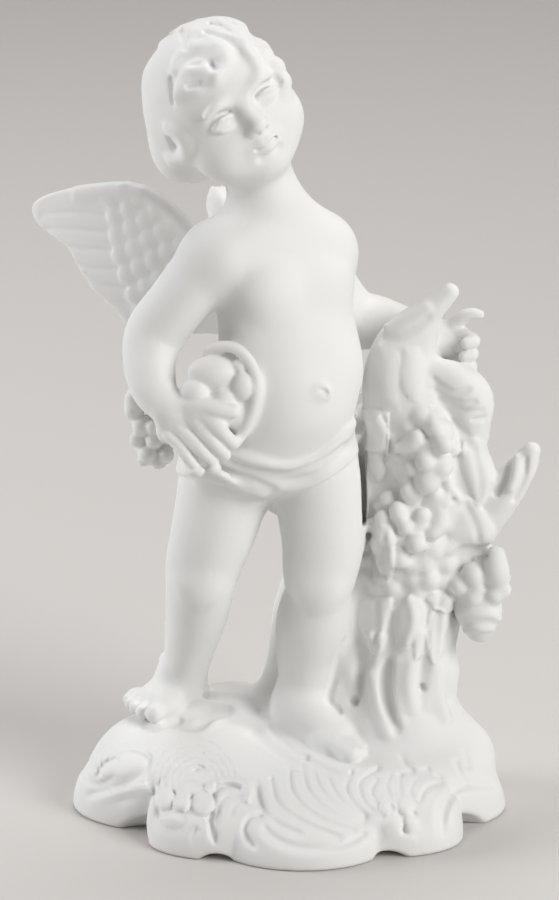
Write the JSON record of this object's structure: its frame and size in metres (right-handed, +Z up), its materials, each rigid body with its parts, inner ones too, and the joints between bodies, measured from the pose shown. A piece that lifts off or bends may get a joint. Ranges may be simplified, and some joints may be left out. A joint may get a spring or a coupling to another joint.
{
  "type": "cherub figurine",
  "caption": "Winged child in a loincloth holding a bowl of fruit, beside a stump hung with vine leaves and grapes, on a scrolled oval base.",
  "frame": {"origin": "middle of the base's flat underside, on the table it stands on", "axes": "+Z up along the standing child; -Y towards the viewer, where the toes and the fruit bowl face; +X towards the stump, at the viewer's right"},
  "size_m": [0.1221, 0.1031, 0.1951],
  "materials": {
    "bisque": "unglazed white bisque porcelain, smooth and matt"
  },
  "bodies": {
    "root": {"cherub_figurine": "bisque"}
  },
  "joints": []
}
